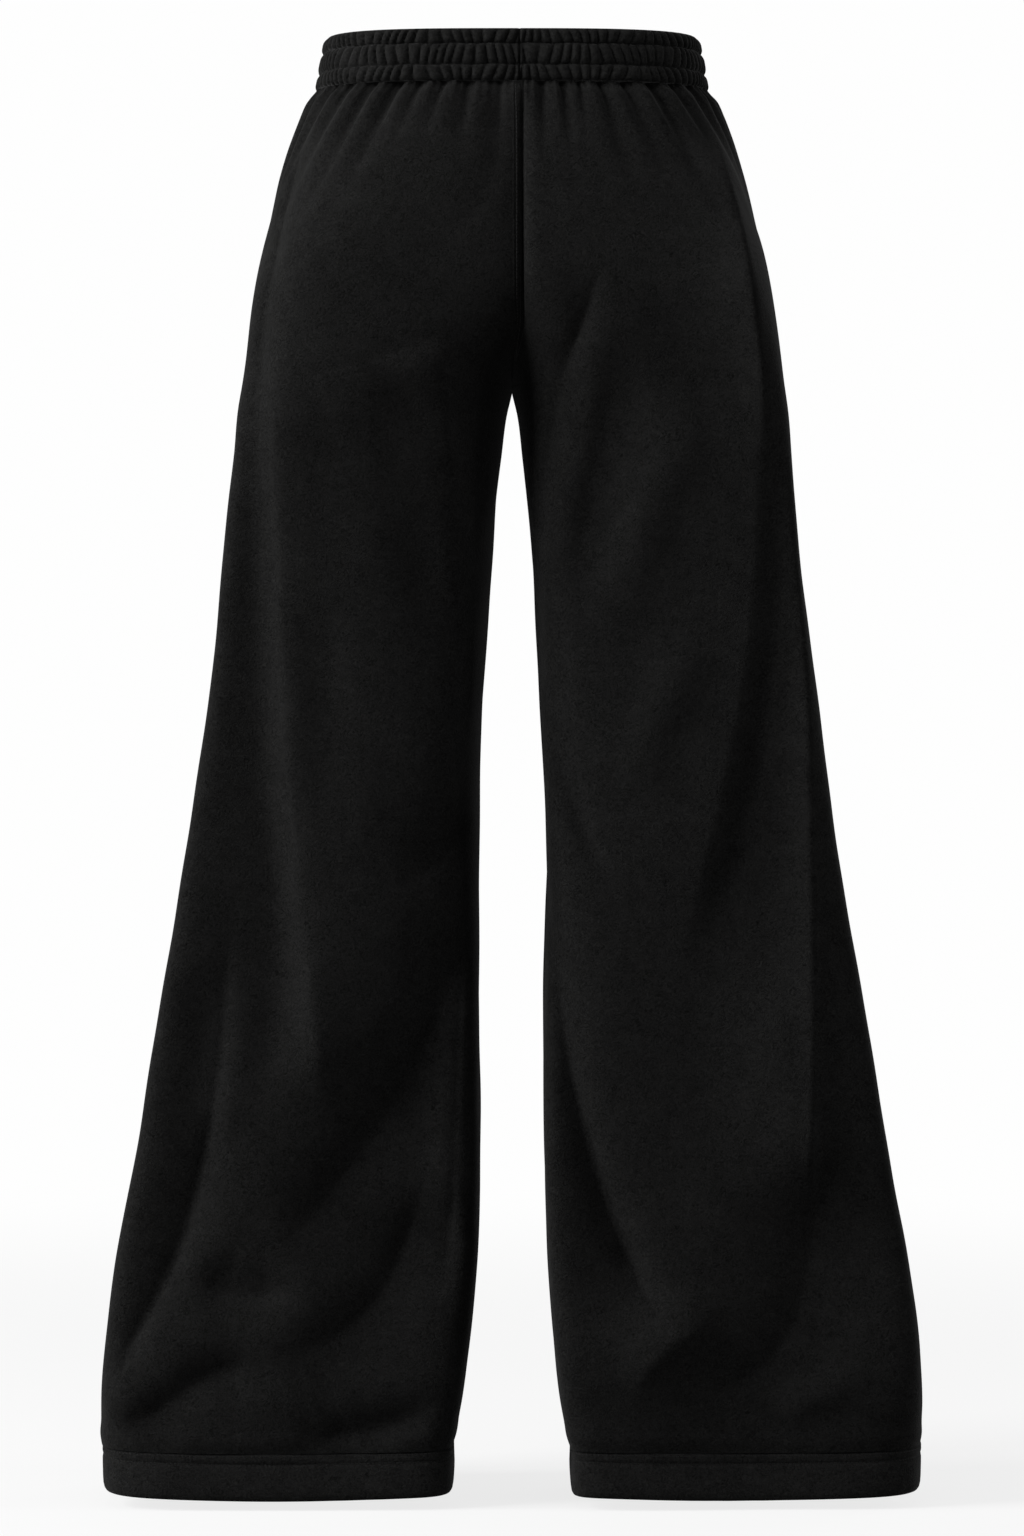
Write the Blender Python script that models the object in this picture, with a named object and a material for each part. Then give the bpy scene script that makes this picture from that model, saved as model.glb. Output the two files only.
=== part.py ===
"""Wide-leg sweatpants in heavy fleece, standing open as they are worn, with nobody in them.

Each half is a front and a back panel from waistband to hem. Panels meet at the centre seam, the
inseam and the side seam. A shirred elastic waistband and a turned hem band on each leg close the cut.
The frame's origin is the middle of the waist opening, at half the waistband's height: +Z is up, the
front faces -Y and the wearer's left is +X. Sizes in the tables are millimetres.
"""

import math
from collections import namedtuple

import bmesh
import bpy
import numpy as np

MM = 0.001
LEFT, RIGHT = 1, -1
BACK, FRONT = 1, -1

# Driving sizes, in millimetres
CLOTH = 2.4
SEAM_GAP = 0.3
WAISTBAND_HEIGHT = 37.0
WAISTBAND_WALL = 4.2
CROTCH_Z = -231.0
FORK_RISE = 160.0
FORK_START_SLOPE = 0.13
SEAM_DRIFT = 7.5
DRIFT_RISE = 45.0
DRIFT_REACH = 45.0
TUCK = 3.0
TUCK_REACH = 9.0

BODY_TOP_Z = -WAISTBAND_HEIGHT / 2 - SEAM_GAP
HEM_TOP_Z = -981.0

# Half of the body at each height: its outer and inner edge from the middle, its depths to the back and
# front, the powers of its oval at the back towards the middle and the side (2 is an ellipse, more is
# squarer), and how far the cloth dips at the back
Section = namedtuple("Section", "z outer inner back front inner_power outer_power dip")
SECTIONS = (
    Section(-18, 143.5, 0.0, 97.0, 94.0, 3.2, 3.2, 0.0),
    Section(-30, 150.5, 0.0, 104.5, 97.0, 3.1, 3.2, 0.0),
    Section(-51, 159.5, 0.0, 114.0, 100.0, 2.9, 3.4, 0.0),
    Section(-80, 168.5, 0.0, 122.0, 102.0, 2.8, 3.8, 0.0),
    Section(-116, 175.5, 0.0, 127.0, 104.0, 2.8, 4.8, 0.0),
    Section(-166, 183.5, 0.0, 129.0, 105.0, 3.0, 9.0, 0.0),
    Section(-231, 191.0, 0.2, 120.0, 102.0, 3.2, 13.0, 0.0),
    Section(-250, 194.0, 4.4, 116.0, 101.0, 3.2, 14.0, 0.0),
    Section(-282, 197.0, 8.0, 109.0, 100.0, 3.2, 16.0, 0.0),
    Section(-354, 204.0, 13.7, 101.0, 98.0, 3.3, 18.0, 0.0),
    Section(-440, 213.5, 19.8, 97.0, 97.0, 3.4, 18.0, 0.0),
    Section(-527, 225.8, 23.8, 96.0, 98.0, 3.4, 18.0, 0.0),
    Section(-656, 246.3, 23.0, 99.0, 101.0, 3.4, 18.0, 0.0),
    Section(-786, 268.5, 23.4, 104.0, 106.0, 3.2, 16.0, 0.0),
    Section(-858, 282.0, 25.4, 107.0, 109.0, 3.0, 14.0, 0.5),
    Section(-915, 289.5, 30.0, 110.0, 112.0, 2.9, 11.0, 2.5),
    Section(-950, 291.5, 34.5, 110.0, 112.0, 3.0, 8.0, 4.5),
    Section(-968, 291.5, 38.5, 108.0, 110.0, 3.1, 6.0, 5.0),
    Section(-981, 291.0, 42.0, 105.5, 107.5, 3.2, 5.5, 5.5),
    Section(-1010, 290.0, 42.5, 106.5, 108.5, 3.2, 5.5, 9.5),
)
FRONT_POWER = 2.6

# How much squarer the back of each leg is towards its inseam, at the thigh and at the hem, and over what
# heights it becomes so
Squareness = namedtuple("Squareness", "thigh hem")
SQUARENESS = {LEFT: Squareness(1.0, 2.8), RIGHT: Squareness(2.4, 4.5)}
SQUARENESS_DROP = 140.0
LOW_TOP_Z, LOW_END_Z = -540.0, -800.0

# How far the seams of each leg have turned towards the back at the hem, in degrees
Turn = namedtuple("Turn", "inseam outseam")
TURNS = {LEFT: Turn(17.0, -3.0), RIGHT: Turn(32.0, 13.0)}
TURN_TOP_Z = -450.0

# Valleys of the gathers under the waistband on each back quarter: angle from the centre back, lean to
# the side in degrees for each 100 mm down, length, depth and half-width. The cloth falls steeply into
# each valley from the crest nearer the centre, and rises gently towards the next
Gather = namedtuple("Gather", "angle lean length depth width")
GATHERS = {
    LEFT: (
        Gather(6.0, 0, 75, 4.3, 5.0),
        Gather(13.5, 0, 32, 6.1, 3.6),
        Gather(19.5, 4, 26, 5.5, 3.2),
        Gather(25.0, 6, 30, 6.4, 3.6),
        Gather(31.0, 6, 60, 9.3, 4.4),
        Gather(38.0, 6, 85, 7.0, 4.0),
        Gather(45.0, 7, 72, 6.4, 4.0),
        Gather(52.0, 7, 48, 6.8, 3.6),
        Gather(61.0, 5, 80, 9.0, 4.8),
        Gather(70.0, 4, 55, 8.5, 4.0),
        Gather(79.0, 2, 60, 8.5, 4.6),
        Gather(88.0, 0, 40, 5.2, 4.0),
    ),
    RIGHT: (
        Gather(5.5, 0, 36, 5.2, 3.2),
        Gather(12.0, 2, 32, 5.5, 3.2),
        Gather(17.5, 0, 22, 4.9, 3.0),
        Gather(23.5, 4, 50, 6.4, 4.0),
        Gather(30.0, 6, 52, 7.2, 4.4),
        Gather(37.5, 6, 66, 9.0, 4.6),
        Gather(44.5, 8, 54, 6.7, 4.0),
        Gather(51.5, 8, 66, 7.5, 4.4),
        Gather(60.0, 5, 85, 9.5, 4.8),
        Gather(69.0, 4, 55, 9.0, 4.0),
        Gather(78.0, 2, 64, 9.0, 4.6),
        Gather(87.0, 0, 42, 5.2, 4.0),
    ),
}
GATHER_GIRTH = 128.0
GATHER_SPREAD = 70.0
GATHER_FADE_POWER = 1.5
GATHER_SHARPNESS = 1.25
GATHER_STEEP = 0.55
GATHER_GENTLE = 1.15

# The cloth falls into the centre-back seam, over this reach on each side of it
CENTRE_DIP = 6.5
CENTRE_REACH = {LEFT: 16.0, RIGHT: 4.0}
CENTRE_FADE = 40.0

# Large folds, seen from the back: four points that the line of each crest or trough runs through, across
# and up from the origin, its width on the inseam's side and on the other, its height, negative in a
# trough, and its power: 2 is a soft roll and 1 a crease
Fold = namedtuple("Fold", "side line wide_in wide_out height power")
FOLDS = (
    Fold(LEFT, ((133, -8), (160, -100), (174, -190), (177, -270)), 12, 90, -24.0, 0.8),
    Fold(LEFT, ((166, -170), (162, -340), (152, -530), (126, -760)), 110, 12, 14.0, 2.0),
    Fold(LEFT, ((174, -190), (170, -340), (160, -530), (134, -740)), 11, 70, -7.0, 1.0),
    Fold(LEFT, ((64, -195), (43, -277), (28, -430), (68, -572)), 15, 100, 12.0, 1.6),
    Fold(LEFT, ((30, -560), (56, -680), (104, -772), (172, -858)), 130, 26, -16.0, 1.2),
    Fold(LEFT, ((62, -786), (77, -844), (112, -893), (182, -917)), 80, 18, -15.0, 1.1),
    Fold(LEFT, ((200, -600), (218, -783), (252, -879), (288, -946)), 15, 45, -14.0, 0.9),
    Fold(LEFT, ((288, -960), (245, -949), (204, -925), (149, -945)), 14, 20, -10.0, 1.2),
    Fold(LEFT, ((39, -941), (79, -959), (118, -969), (164, -975)), 11, 13, -8.0, 1.4),
    Fold(LEFT, ((192, -632), (201, -695), (206, -738), (218, -787)), 18, 13, 5.5, 2.0),
    Fold(LEFT, ((150, -618), (147, -667), (149, -709), (160, -759)), 18, 14, 5.0, 2.0),
    Fold(LEFT, ((231, -852), (202, -869), (174, -873), (139, -862)), 28, 12, -10.0, 1.5),
    Fold(LEFT, ((146, -371), (134, -427), (130, -498), (121, -561)), 18, 18, -4.0, 2.0),
    Fold(LEFT, ((111, -190), (108, -262), (98, -335), (86, -415)), 24, 26, 4.0, 2.0),
    Fold(LEFT, ((36, -600), (38, -700), (42, -800), (54, -890)), 10, 60, -9.0, 1.0),
    Fold(LEFT, ((79, -315), (65, -357), (51, -399), (47, -449)), 14, 16, -4.0, 2.0),
    Fold(LEFT, ((27, -597), (35, -680), (42, -763), (40, -850)), 11, 14, 7.0, 1.8),
    Fold(LEFT, ((22, -525), (38, -550), (58, -572), (82, -590)), 10, 20, -7.0, 1.2),
    Fold(RIGHT, ((-66, -140), (-22, -296), (-22, -452), (-78, -600)), 16, 9, -7.5, 1.1),
    Fold(RIGHT, ((-14, -545), (-32, -660), (-60, -790), (-116, -905)), 45, 11, -18.0, 1.0),
    Fold(RIGHT, ((-26, -600), (-25, -750), (-28, -870), (-42, -960)), 6, 48, 8.0, 1.0),
    Fold(RIGHT, ((-138, -36), (-155, -96), (-166, -156), (-171, -226)), 24, 14, 13.0, 1.2),
    Fold(RIGHT, ((-136, -36), (-160, -110), (-172, -190), (-177, -300)), 16, 24, 16.0, 1.0),
    Fold(RIGHT, ((-174, -230), (-168, -345), (-156, -460), (-108, -660)), 100, 14, 11.0, 2.0),
    Fold(RIGHT, ((-192, -250), (-207, -443), (-211, -636), (-208, -830)), 22, 14, 13.0, 1.0),
    Fold(RIGHT, ((-221, -759), (-207, -864), (-176, -924), (-87, -954)), 28, 140, -14.0, 1.1),
    Fold(RIGHT, ((-150, -884), (-122, -900), (-98, -920), (-82, -952)), 18, 13, 7.0, 1.3),
    Fold(RIGHT, ((-182, -958), (-203, -946), (-228, -935), (-259, -931)), 12, 12, 4.5, 2.0),
    Fold(RIGHT, ((-133, -238), (-111, -291), (-85, -357), (-66, -420)), 18, 18, 4.5, 2.0),
    Fold(RIGHT, ((-84, -190), (-70, -262), (-56, -330), (-47, -395)), 13, 20, -4.5, 2.0),
    Fold(RIGHT, ((-178, -639), (-186, -700), (-190, -770), (-184, -830)), 30, 16, 5.0, 2.0),
    Fold(RIGHT, ((-136, -400), (-116, -442), (-98, -484), (-84, -530)), 16, 16, 4.0, 2.0),
)
FRONT_SHARE = 0.8
FOLD_STEPS = 10
FOLD_LEAST_WIDTH = 15.0
FOLD_END_REACH = 70.0
FOLD_END_SHARE = 0.35
CREASE_ROUND = 1.2
EDGE_HOLD_POWER = 8
SEAM_HOLD = 7.0

# Heights of the rows that cut each panel's mesh, closest where the cloth gathers and breaks
PANEL_ROWS = (
    BODY_TOP_Z, -25, -34, -48, -68, -98, -138, -178, -205, -221, -229, CROTCH_Z, -243, -272, -325,
    -395, -470, -545, -620, -695, -765, -825, -872, -908, -934, -954, -969, HEM_TOP_Z + SEAM_GAP,
)

# Above the crotch the columns of a panel crowd towards its inner seam, less and less further up
CROTCH_CROWDING = 3.0
CROTCH_REACH = 25.0

# Waistband profile, top to bottom: height, swell over the stitched grooves, size and side of its ribs
Channel = namedtuple("Channel", "z swell rib")
WAISTBAND_ROWS = (
    Channel(18.5, -1.6, 0.5),
    Channel(16.0, 1.4, 0.9),
    Channel(11.0, 2.0, 1.0),
    Channel(7.9, -0.6, 0.3),
    Channel(4.0, 2.2, -1.0),
    Channel(-2.5, 2.2, -1.0),
    Channel(-7.1, -0.6, -0.3),
    Channel(-10.2, 2.0, 1.0),
    Channel(-15.5, 1.8, 1.0),
    Channel(-18.5, -0.4, 0.4),
)
WAISTBAND_TOP_OVAL = (132.5, 90.5)
WAISTBAND_BOTTOM_OVAL = (139.0, 95.0)
WAISTBAND_POWER = 3.2
RIBS = 124
RIB_HEIGHT = 1.1
RIBS_PER_INNER_STEP = 2
FRONT_WAIST_SHARE = 0.97

# Hem profile, from its top edge down its outside and back up its inside
HemRow = namedtuple("HemRow", "drop outwards")
HEM_ROWS = (
    HemRow(0.0, 0.0),
    HemRow(4.0, 1.2),
    HemRow(26.0, 1.2),
    HemRow(29.0, -1.2),
    HemRow(29.0, -3.2),
    HemRow(0.0, -4.4),
)
HEM_POINTS = 40

SHARP_ANGLE = 35.0
BLACK_FLEECE = (0.0085, 0.0085, 0.0083, 1.0)


def clear_scene():
    for obj in list(bpy.data.objects):
        bpy.data.objects.remove(obj, do_unlink=True)


def fleece(name, roughness):
    material = bpy.data.materials.new(name)
    material.use_nodes = True
    shader = material.node_tree.nodes["Principled BSDF"]
    shader.inputs["Base Color"].default_value = BLACK_FLEECE
    shader.inputs["Roughness"].default_value = roughness
    shader.inputs["Metallic"].default_value = 0.0
    return material


def smoothstep(value):
    value = np.clip(value, 0.0, 1.0)
    return value * value * (3.0 - 2.0 * value)


def column_at(rows, column, z):
    """One column of a table at heights z, on a smooth curve through the rows."""
    heights = np.array([row.z for row in rows], float)[::-1]
    values = np.array([getattr(row, column) for row in rows], float)[::-1]
    slopes = np.gradient(values, heights)
    z = np.clip(z, heights[0], heights[-1])
    i = np.clip(np.searchsorted(heights, z) - 1, 0, len(heights) - 2)
    step = heights[i + 1] - heights[i]
    t = (z - heights[i]) / step
    rising = t * t * (3.0 - 2.0 * t)
    start = t * (1.0 - t) ** 2 * step * slopes[i]
    end = -t * t * (1.0 - t) * step * slopes[i + 1]
    return values[i] * (1.0 - rising) + values[i + 1] * rising + start + end


def half_oval(z):
    """Middle and half-width of the oval that one half of the body is at height z, and its two depths."""
    outer = column_at(SECTIONS, "outer", z)
    inner = column_at(SECTIONS, "inner", z)
    rise = np.clip((z - CROTCH_Z) / FORK_RISE, 0.0, 1.0)
    joined = smoothstep(rise) + FORK_START_SLOPE * rise * (1.0 - rise) ** 2
    middle = np.where(z > CROTCH_Z, outer / 2 * (1.0 - joined), (outer + inner) / 2)
    return middle, outer - middle, column_at(SECTIONS, "back", z), column_at(SECTIONS, "front", z)


def oval_power(side, across, behind, z):
    """Power of the oval at height z, in the quarter that across and behind point to."""
    squarer = SQUARENESS[side]
    below_crotch = smoothstep((CROTCH_Z - z) / SQUARENESS_DROP)
    low = smoothstep((LOW_TOP_Z - z) / (LOW_TOP_Z - LOW_END_Z))
    times = 1.0 + (squarer.thigh - 1.0) * below_crotch + (squarer.hem - squarer.thigh) * low
    inner = column_at(SECTIONS, "inner_power", z) * times
    outer = column_at(SECTIONS, "outer_power", z)
    return np.where(behind >= 0, np.where(across > 0, outer, inner), FRONT_POWER)


def oval_angle(side, across, face, z):
    """Angle round an oval of half-width 1 where it is this far across, towards the face."""
    across = np.clip(across, -1.0, 1.0)
    power = oval_power(side, across, face, z)
    return np.arctan2((1.0 - np.abs(across) ** power) ** (1.0 / power), across)


def oval_radius(theta, power):
    """How far the oval stands out at angle theta, against an ellipse."""
    return (np.abs(np.cos(theta)) ** power + np.abs(np.sin(theta)) ** power) ** (-1.0 / power)


def seam_angles(side, face, z):
    """Angles round the oval of the inner seam and of the side seam: 0 at the side, 90 degrees at the back."""
    middle, half, _, _ = half_oval(z)
    centre = oval_angle(side, (SEAM_GAP / 2 - middle) / half, face, z)
    turned = smoothstep((TURN_TOP_Z - z) / (TURN_TOP_Z - HEM_TOP_Z))
    inseam = np.pi - face * np.radians(TURNS[side].inseam) * turned
    inner = np.where(z > CROTCH_Z, centre, inseam)
    return face * inner, np.radians(TURNS[side].outseam) * turned + 0.0 * z


def gather_depth(side, theta, z):
    """How far the gathers press the cloth in, at angle theta round the oval."""
    depth = np.zeros(np.broadcast(theta, z).shape)
    below = np.maximum(BODY_TOP_Z - z, 0.0)
    for face in (BACK, FRONT):
        from_centre = 90.0 - np.degrees(theta) * face
        for row in GATHERS[side * face]:
            away = from_centre - row.angle - row.lean * below / 100.0
            width = row.width * (1.0 + below / GATHER_SPREAD)
            width = width * np.where(away < 0, GATHER_STEEP, GATHER_GENTLE)
            away = np.hypot(np.radians(away) * GATHER_GIRTH, CREASE_ROUND) - CREASE_ROUND
            fade = np.exp(-((below / row.length) ** GATHER_FADE_POWER))
            depth -= row.depth * fade * np.exp(-((away / width) ** GATHER_SHARPNESS))
    return depth


def fold_depth(side, theta, from_centre, z):
    """How far the large folds lift the cloth, at angle theta and this far from the middle."""
    depth = np.zeros(np.broadcast(theta, z).shape)
    for face in (BACK, FRONT):
        here = np.sin(theta) * face > 0
        share = 1.0 if face == BACK else FRONT_SHARE
        for fold in FOLDS:
            if fold.side == side * face:
                depth += np.where(here, share * one_fold(fold, from_centre, z), 0.0)
    return depth


def curve_through(points, steps):
    """A smooth curve through four points, as its two coordinates at equal steps."""
    t = np.linspace(0.0, 1.0, steps + 1)
    knots = np.arange(4) / 3
    curve = np.zeros((2, steps + 1))
    for knot, point in zip(knots, points):
        weight = np.prod([(t - other) / (knot - other) for other in knots if other != knot], axis=0)
        curve += weight * np.array(point, float)[:, None]
    return curve


def one_fold(fold, from_centre, z):
    """How far one fold lifts the cloth, seen square on: a smooth crest or trough beside its curve."""
    line_x, line_z = curve_through(fold.line, FOLD_STEPS)
    line_x = np.abs(line_x)
    nearest = np.full(np.broadcast(from_centre, z).shape, 1e9)
    along, towards_seam = np.zeros(nearest.shape), np.zeros(nearest.shape)
    length = np.hypot(np.diff(line_x), np.diff(line_z)).sum()
    for i in range(FOLD_STEPS):
        across, up = from_centre - line_x[i], z - line_z[i]
        run, rise = line_x[i + 1] - line_x[i], line_z[i + 1] - line_z[i]
        t = np.clip((across * run + up * rise) / (run * run + rise * rise), 0.0, 1.0)
        away = np.hypot(across - t * run, up - t * rise)
        closer = away < nearest
        nearest = np.where(closer, away, nearest)
        along = np.where(closer, (i + t) / FOLD_STEPS, along)
        towards_seam = np.where(closer, rise * across - run * up, towards_seam)
    width = np.where(towards_seam > 0, fold.wide_in, fold.wide_out).clip(FOLD_LEAST_WIDTH)
    reach = min(FOLD_END_REACH / length, FOLD_END_SHARE)
    ends = smoothstep(along / reach) * smoothstep((1.0 - along) / reach)
    away = np.hypot(nearest, CREASE_ROUND) - CREASE_ROUND
    return fold.height * ends * np.exp(-((away / width) ** fold.power))


def cloth_points(side, theta, z):
    """Outer points of the cloth at angle theta and height z, and the directions that face out there."""
    middle, half, back, front = half_oval(z)
    sine, cosine = np.sin(theta), np.cos(theta)
    depth = np.where(sine >= 0, back, front)
    radius = oval_radius(theta, oval_power(side, cosine, sine, z))
    from_centre, deep = middle + half * radius * cosine, depth * radius * sine
    out_x, out_y = cosine / half, sine / depth
    length = np.hypot(out_x, out_y)
    out_x, out_y = out_x / length, out_y / length
    held = 1.0 - np.exp(-((from_centre / SEAM_HOLD) ** 2))
    lift = gather_depth(side, theta, z) * held - TUCK * (1.0 - smoothstep((BODY_TOP_Z - z) / TUCK_REACH))
    folds = fold_depth(side, theta, from_centre, z) * held * (1.0 - np.abs(cosine) ** EDGE_HOLD_POWER)
    x = side * (from_centre + out_x * lift)
    y = deep + out_y * lift + folds * np.sign(sine) - centre_dip(side, from_centre, z) * np.maximum(sine, 0.0)
    x = x - seam_drift(x, y, z)
    down = z - column_at(SECTIONS, "dip", z) * sine
    return np.stack([x, y, down], axis=-1), np.stack([side * out_x, out_y, 0 * z], axis=-1)


def centre_dip(side, from_centre, z):
    """How far the cloth lies in at the centre-back seam, between the waistband and the crotch."""
    ends = smoothstep((BODY_TOP_Z - z) / CENTRE_FADE) * smoothstep((z - CROTCH_Z) / CENTRE_FADE)
    return CENTRE_DIP * ends * np.exp(-np.abs(from_centre) / CENTRE_REACH[side])


def seam_drift(x, y, z):
    """How far the cloth round the centre-back seam has drifted to the wearer's right."""
    above_crotch = smoothstep((z - CROTCH_Z) / DRIFT_RISE)
    behind = smoothstep(y / DRIFT_REACH)
    return SEAM_DRIFT * above_crotch * behind * np.exp(-((x / DRIFT_REACH) ** 2))


def panel_angles(side, face, z):
    """Angles of a panel's columns at height z: on its gathers at the top, evenly spaced lower down."""
    valleys = [row.angle for row in GATHERS[side * face]]
    crests = [(a + b) / 2 for a, b in zip([0.0, *valleys], valleys)]
    marks = sorted([0.0, *crests, *valleys, 90.0])
    gathered = np.array(marks) / 90.0
    even = np.linspace(0.0, 1.0, len(marks))
    share = smoothstep((BODY_TOP_Z - z) / (BODY_TOP_Z - CROTCH_Z))
    across = gathered * (1.0 - share) + even * share
    inner, outer = (float(angle) for angle in seam_angles(side, face, np.array(z, float)))
    _, half, back, _ = half_oval(np.array(z, float))
    trim = SEAM_GAP / 2 / ((half + back) / 2)
    inner -= face * trim * (z <= CROTCH_Z)
    crowding = 1.0 + CROTCH_CROWDING * np.exp(-max(z - CROTCH_Z, 0.0) / CROTCH_REACH)
    inseam = face * math.pi if z > CROTCH_Z else inner
    return inseam + (outer + face * trim - inseam) * across - (inseam - inner) * (1.0 - across) ** crowding


def panel_points(side, face):
    """Outer and inner points of one panel, as rows of points from the inner seam to the side seam."""
    outer, facing = [], []
    for z in PANEL_ROWS:
        theta = panel_angles(side, face, z)
        points, out = cloth_points(side, theta, np.full(theta.shape, float(z)))
        outer.append(points)
        facing.append(out)
    outer, facing = np.array(outer), np.array(facing)
    normals = np.cross(np.gradient(outer, axis=1), np.gradient(outer, axis=0))
    normals /= np.linalg.norm(normals, axis=-1, keepdims=True)
    normals *= np.sign((normals * facing).sum(axis=-1, keepdims=True))
    normals[:, -1] = facing[:, -1]
    normals[:, 0] = inner_edge_normals(outer[:, 0], facing[:, 0], face)
    normals[0, :, 2] = normals[-1, :, 2] = 0.0
    normals /= np.linalg.norm(normals, axis=-1, keepdims=True)
    return outer, outer - CLOTH * normals


def inner_edge_normals(edge, facing, face):
    """Directions that keep the wall's inner edge in the plane of the centre seam, then of the inseam."""
    normals = facing.copy()
    run = np.gradient(edge, axis=0)
    for i, z in enumerate(PANEL_ROWS):
        if z > CROTCH_Z:
            normals[i] = (0.0, -face * run[i, 2], face * run[i, 1])
            normals[i] /= np.linalg.norm(normals[i])
        elif z == CROTCH_Z:
            normals[i] = (0.0, 0.0, -1.0)
    return normals


def closed_mesh(name, outer, inner, material, facing_out):
    """One solid between two grids of points, with a rim round their edges."""
    rows, columns = outer.shape[:2]
    body = bmesh.new()
    outside = [[body.verts.new(point * MM) for point in row] for row in outer]
    inside = [[body.verts.new(point * MM) for point in row] for row in inner]
    for i in range(rows - 1):
        for j in range(columns - 1):
            body.faces.new((outside[i][j], outside[i + 1][j], outside[i + 1][j + 1], outside[i][j + 1]))
            body.faces.new((inside[i][j], inside[i][j + 1], inside[i + 1][j + 1], inside[i + 1][j]))
    border = [(0, j) for j in range(columns)] + [(i, columns - 1) for i in range(1, rows)]
    border += [(rows - 1, j) for j in range(columns - 2, -1, -1)] + [(i, 0) for i in range(rows - 2, 0, -1)]
    for (i, j), (k, m) in zip(border, border[1:] + border[:1]):
        body.faces.new((outside[i][j], outside[k][m], inside[k][m], inside[i][j]))
    if not facing_out:
        bmesh.ops.reverse_faces(body, faces=body.faces)
    return finish(name, body, material)


def finish(name, body, material):
    mesh = bpy.data.meshes.new(name)
    body.normal_update()
    body.to_mesh(mesh)
    body.free()
    mesh.shade_smooth()
    mesh.set_sharp_from_angle(angle=math.radians(SHARP_ANGLE))
    mesh.materials.append(material)
    obj = bpy.data.objects.new(name, mesh)
    bpy.context.scene.collection.objects.link(obj)
    return obj


def ring_solid(name, loops, material):
    """One ring-shaped solid through loops of points: each loop is bridged to the next, round to the first."""
    body = bmesh.new()
    rings = [[body.verts.new(point * MM) for point in loop] for loop in loops]
    for first, second in zip(rings, rings[1:] + rings[:1]):
        bridge(body, first, second)
    bmesh.ops.recalc_face_normals(body, faces=body.faces)
    return finish(name, body, material)


def bridge(body, first, second):
    """Faces between two rings of points, which may differ in how many points they have."""
    i = j = 0
    while i < len(first) or j < len(second):
        a, b = first[i % len(first)], second[j % len(second)]
        next_a, next_b = (i + 1) / len(first), (j + 1) / len(second)
        if len(first) == len(second):
            body.faces.new((a, b, second[(j + 1) % len(second)], first[(i + 1) % len(first)]))
            i, j = i + 1, j + 1
        elif next_a <= next_b:
            body.faces.new((a, b, first[(i + 1) % len(first)]))
            i += 1
        else:
            body.faces.new((a, b, second[(j + 1) % len(second)]))
            j += 1


def waist_oval(angles, z, outwards):
    """Points of the waistband's oval at height z, moved outwards."""
    share = (z / WAISTBAND_HEIGHT) + 0.5
    half_width = WAISTBAND_BOTTOM_OVAL[0] + (WAISTBAND_TOP_OVAL[0] - WAISTBAND_BOTTOM_OVAL[0]) * share
    half_depth = WAISTBAND_BOTTOM_OVAL[1] + (WAISTBAND_TOP_OVAL[1] - WAISTBAND_BOTTOM_OVAL[1]) * share
    half_depth = half_depth * np.where(np.sin(angles) > 0, 1.0, FRONT_WAIST_SHARE)
    out_x, out_y = np.cos(angles) / half_width, np.sin(angles) / half_depth
    length = np.hypot(out_x, out_y)
    radius = oval_radius(angles, np.where(np.sin(angles) > 0, WAISTBAND_POWER, FRONT_POWER))
    x = half_width * radius * np.cos(angles) + outwards * out_x / length
    y = half_depth * radius * np.sin(angles) + outwards * out_y / length
    return np.stack([x, y, np.full(angles.shape, z)], axis=-1)


def make_waistband(material):
    """An elastic band in three shirred channels: ribbed outside, plain inside."""
    angles = np.arange(2 * RIBS) * math.pi / RIBS
    zigzag = np.where(np.arange(2 * RIBS) % 2 == 0, 1.0, -1.0)
    loops = [waist_oval(angles, row.z, row.swell + RIB_HEIGHT * row.rib * zigzag) for row in WAISTBAND_ROWS]
    inner_angles = angles[:: 2 * RIBS_PER_INNER_STEP]
    for row in (WAISTBAND_ROWS[-1], WAISTBAND_ROWS[0]):
        loops.append(waist_oval(inner_angles, row.z, -WAISTBAND_WALL))
    return ring_solid("waistband", loops, material)


def make_hem(side, name, material):
    """The turned hem of one leg: a double layer, a little proud of the leg."""
    angles = np.arange(HEM_POINTS) * 2 * math.pi / HEM_POINTS
    loops = []
    for row in HEM_ROWS:
        points, out = cloth_points(side, angles, np.full(angles.shape, HEM_TOP_Z - row.drop))
        loops.append(points + out * row.outwards)
    return ring_solid(name, loops, material)


def main():
    clear_scene()
    body_fleece = fleece("body_fleece", 0.95)
    band_fleece = fleece("band_fleece", 0.9)
    for side, side_name in ((LEFT, "left"), (RIGHT, "right")):
        for face, face_name in ((BACK, "back"), (FRONT, "front")):
            outer, inner = panel_points(side, face)
            closed_mesh(f"{face_name}_{side_name}", outer, inner, body_fleece, side * face == RIGHT)
        make_hem(side, f"hem_{side_name}", body_fleece)
    make_waistband(band_fleece)


main()
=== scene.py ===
"""Looks of the wide-leg sweatpants: fine cloth on the frame's panels, with its sewing, light and camera.

The tables and the surface functions repeat the part's own, in millimetres, so each fine piece lies on
the solid that it replaces. One crest, beside the crotch on the left leg, is two softer rows here. What
follows them adds the small waves of the cloth, shirring, seams and stitches.
"""

import math
from collections import namedtuple

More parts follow.
